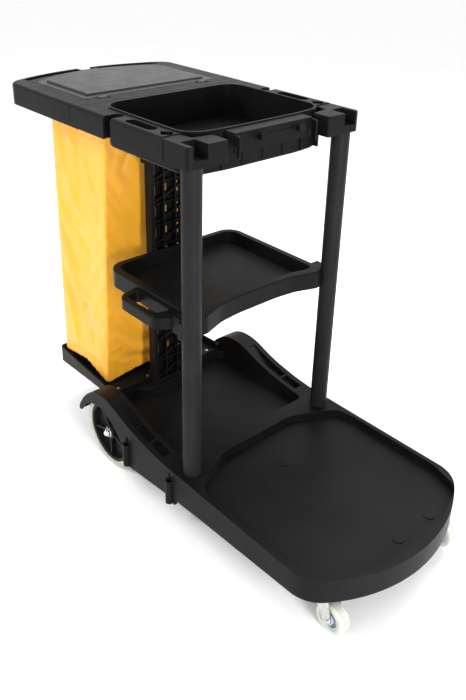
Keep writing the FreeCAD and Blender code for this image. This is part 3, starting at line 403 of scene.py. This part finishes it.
def crease_height(along, up, creases):
    """How far the creases lift the cloth at a place on one face."""
    total = 0.0
    for (a0, u0), (a1, u1), width, height in creases:
        da, du = a1 - a0, (u1 - u0) * CREASE_STRETCH
        pa, pu = along - a0, (up - u0) * CREASE_STRETCH
        share = max(0.0, min(1.0, (pa * da + pu * du) / (da * da + du * du)))
        miss = math.hypot(pa - share * da, pu - share * du)
        total += CREASE_GAIN * height * math.exp(-(miss / width) ** 2)
    return total


def hem_height(side, along):
    """The height of the lower hem, which lifts between the corners."""
    if side in (0, 2):
        forward = along if side == 0 else 1 - along
        if forward < PEAK_ALONG:
            return BAG_LOW.z + REAR_HEM_LIFT + (SIDE_HEM_PEAK - REAR_HEM_LIFT) * forward / PEAK_ALONG
        return BAG_LOW.z + SIDE_HEM_PEAK * (1 - forward) / (1 - PEAK_ALONG)
    return BAG_LOW.z + (FRONT_HEM_PEAK * math.sin(math.pi * along) if side == 1 else REAR_HEM_LIFT)


def bag_offset(side, share, up, place):
    """Folds, creases and puckers, measured outwards from the bag's flat faces."""
    face = math.sin(math.pi * min(1, max(0, share)))
    along = share if side < 2 else 1 - share
    creases = crease_height(along, up, SIDE_CREASES if side in (0, 2) else FRONT_CREASES)
    spot = Vector((place.x * FOLD_SCALE, place.y * FOLD_SCALE, place.z * FOLD_SCALE_UP))
    slow = noise.noise(spot) * FOLD_HEIGHT
    near_hem = math.exp(-((up - PUCKER_UP) / PUCKER_SPREAD) ** 2)
    pucker = math.sin(share * PUCKERS_ALONG + side) * PUCKER_HEIGHT * near_hem
    loose = min(1.0, (1 - up) * 14) * min(1.0, 0.35 + up * 6)
    edge_spot = Vector((0, side * EDGE_SHIFT, place.z * EDGE_SCALE))
    edge_pucker = noise.noise(edge_spot) * PUCKER_HEIGHT * (1 - face)
    return ((creases + slow) * (face ** FACE_FADE) + edge_pucker) * loose + pucker


def sag_limit(up):
    """How far the cloth may swing out of its flat faces at a height."""
    return SAG_LEAST + SAG_MORE * math.sin(math.pi * min(1, max(0, up)))


def bag_grid():
    """The bag's points, their flat places, its faces and the size of its grid."""
    width = BAG_HIGH.y - BAG_LOW.y
    depth = BAG_HIGH.x - BAG_LOW.x
    counts = [round(depth / CELL), round(width / CELL)] * 2
    rows = round((BAG_HIGH.z - BAG_LOW.z) / CELL)
    points, flats = [], []
    for row in range(rows + 1):
        up = row / rows
        for flat, outward, side, share in bag_ring(up, counts):
            low = hem_height(side, share)
            z = low + (BAG_HIGH.z - low) * up
            place = Vector((flat.x, flat.y, z))
            flats.append((place, outward, up))
            points.append(place + outward * bag_offset(side, share, up, place))
    around = len(points) // (rows + 1)
    faces = []
    for row in range(rows):
        for i in range(around):
            j = (i + 1) % around
            a = row * around
            faces.append((a + i, a + j, a + around + j, a + around + i))
    base = points[:around]
    middle = Vector((sum(p.x for p in base) / around, 0, BAG_LOW.z + FLOOR_LIFT))
    previous = list(range(around))
    for ring in range(1, FLOOR_RINGS + 1):
        share = ring / (FLOOR_RINGS + 1)
        current = []
        for i in range(around):
            p = base[i].lerp(middle, share)
            drop = (base[i].z - middle.z) * (1 - share) ** 3
            current.append(len(points))
            points.append(Vector((p.x, p.y, middle.z + drop)))
            flats.append((points[-1], Vector((0, 0, 0)), 0))
        for i in range(around):
            j = (i + 1) % around
            faces.append((current[i], current[j], previous[j], previous[i]))
        previous = current
    faces.append(tuple(previous))
    return points, flats, faces, around, rows, counts


def simulate_bag(bag, around, rows, counts):
    """Lets the cloth, a little larger than its frame, buckle and settle between its seams."""
    pins = bag.vertex_groups.new(name="pins")
    wall = around * (rows + 1)
    ring = bag_ring(0, counts)
    for index in range(len(bag.data.vertices)):
        row, i = divmod(index, around)
        held = 1.0 if index >= wall or row == 0 or row >= rows - 1 else 0.0
        if held == 0.0 and ring[i][3] in (0.0, 1.0):
            held = SEAM_HOLD
        if held:
            pins.add([index], held, "REPLACE")
    cloth = bag.modifiers.new("cloth", "CLOTH")
    settings = cloth.settings
    settings.quality = 6
    settings.mass = 0.25
    settings.tension_stiffness = 25
    settings.compression_stiffness = 25
    settings.shear_stiffness = 12
    settings.bending_stiffness = 0.6
    settings.air_damping = 3
    settings.shrink_min = -SIM_GROWTH
    settings.vertex_group_mass = "pins"
    settings.pin_stiffness = 1.2
    settings.effector_weights.gravity = 0.35
    cloth.collision_settings.use_collision = False
    cloth.point_cache.frame_start = 1
    cloth.point_cache.frame_end = SIM_FRAMES
    for step in range(1, SIM_FRAMES + 1):
        bpy.context.scene.frame_set(step)
    settled = bag.evaluated_get(bpy.context.evaluated_depsgraph_get()).to_mesh()
    places = [v.co.copy() for v in settled.vertices]
    bag.modifiers.remove(cloth)
    bag.vertex_groups.clear()
    bpy.context.scene.frame_set(1)
    return places


def make_bag(materials):
    """The hanging bag, settled and held inside its swing, with its tape."""
    points, flats, faces, around, rows, counts = bag_grid()
    mesh = bpy.data.meshes.new("hanging_bag")
    mesh.from_pydata(points, [], faces)
    bag = bpy.data.objects.new("hanging_bag", mesh)
    bpy.context.scene.collection.objects.link(bag)
    points = simulate_bag(bag, around, rows, counts)
    for vertex, place, (flat, outward, up) in zip(mesh.vertices, points, flats):
        if outward.length:
            swing = (place - flat).dot(outward)
            limit = sag_limit(up)
            place = place + outward * (max(-limit, min(limit, swing)) - swing)
        vertex.co = Vector((place.x, place.y, max(place.z, BAG_LOW.z - FLOOR_CLEARANCE)))
    for polygon in mesh.polygons:
        polygon.use_smooth = True
    smooth = bag.modifiers.new("smooth", "SUBSURF")
    smooth.levels = 1
    smooth.render_levels = 1
    mesh.materials.append(materials["yellow_vinyl"])
    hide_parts("waste_bag")
    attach(bag, "cart")
    wall = [v.co.copy() for v in mesh.vertices[:around * (rows + 1)]]
    tape = make_tape(materials, wall, around, rows)


def make_tape(materials, points, around, rows):
    """The tape sewn down the rear face beside its near edge, on the cloth as it hangs."""
    strip = []
    for row in range(rows + 1):
        ring = points[row * around:(row + 1) * around]
        rear = [p for p in ring if p.x < BAG_LOW.x + TAPE_REACH and p.y < 0]
        z = rear[0].z
        if z > BAG_HIGH.z - TAPE_TOP_GAP or z < BAG_LOW.z + TAPE_BOTTOM_GAP:
            continue
        y0 = -BAG_HIGH.y + BAG_TAPER_SIDE + TAPE_SET_IN
        near = min(rear, key=lambda p: abs(p.y - y0))
        bulge = 0.5 + 0.5 * noise.noise(Vector((0, 0, z * TAPE_BULGE_SCALE)))
        strip.append((near.x - TAPE_PROUD - TAPE_BULGE * bulge, y0, z))
    profile = ((0, 0), (-TAPE_CROWN, TAPE_WIDTH * 0.5), (0, TAPE_WIDTH),
               (TAPE_THICKNESS, TAPE_WIDTH), (TAPE_THICKNESS, 0))
    verts, faces = [], []
    for x, y, z in strip:
        for dx, dy in profile:
            verts.append((x + dx, y + dy, z))
    sides = len(profile)
    for k in range(len(strip) - 1):
        for i in range(sides):
            j = (i + 1) % sides
            faces.append((k * sides + i, k * sides + sides + i, k * sides + sides + j, k * sides + j))
    faces.append(tuple(range(sides)))
    faces.append(tuple(reversed(range(len(verts) - sides, len(verts)))))
    mesh = bpy.data.meshes.new("bag_tape")
    mesh.from_pydata(verts, [], faces)
    tape = bpy.data.objects.new("bag_tape", mesh)
    bpy.context.scene.collection.objects.link(tape)
    mesh.materials.append(materials["black_tape"])
    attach(tape, "cart")
    return tape


materials = make_materials()
dress_nodes(materials)
make_bag(materials)
make_camera()
make_studio()
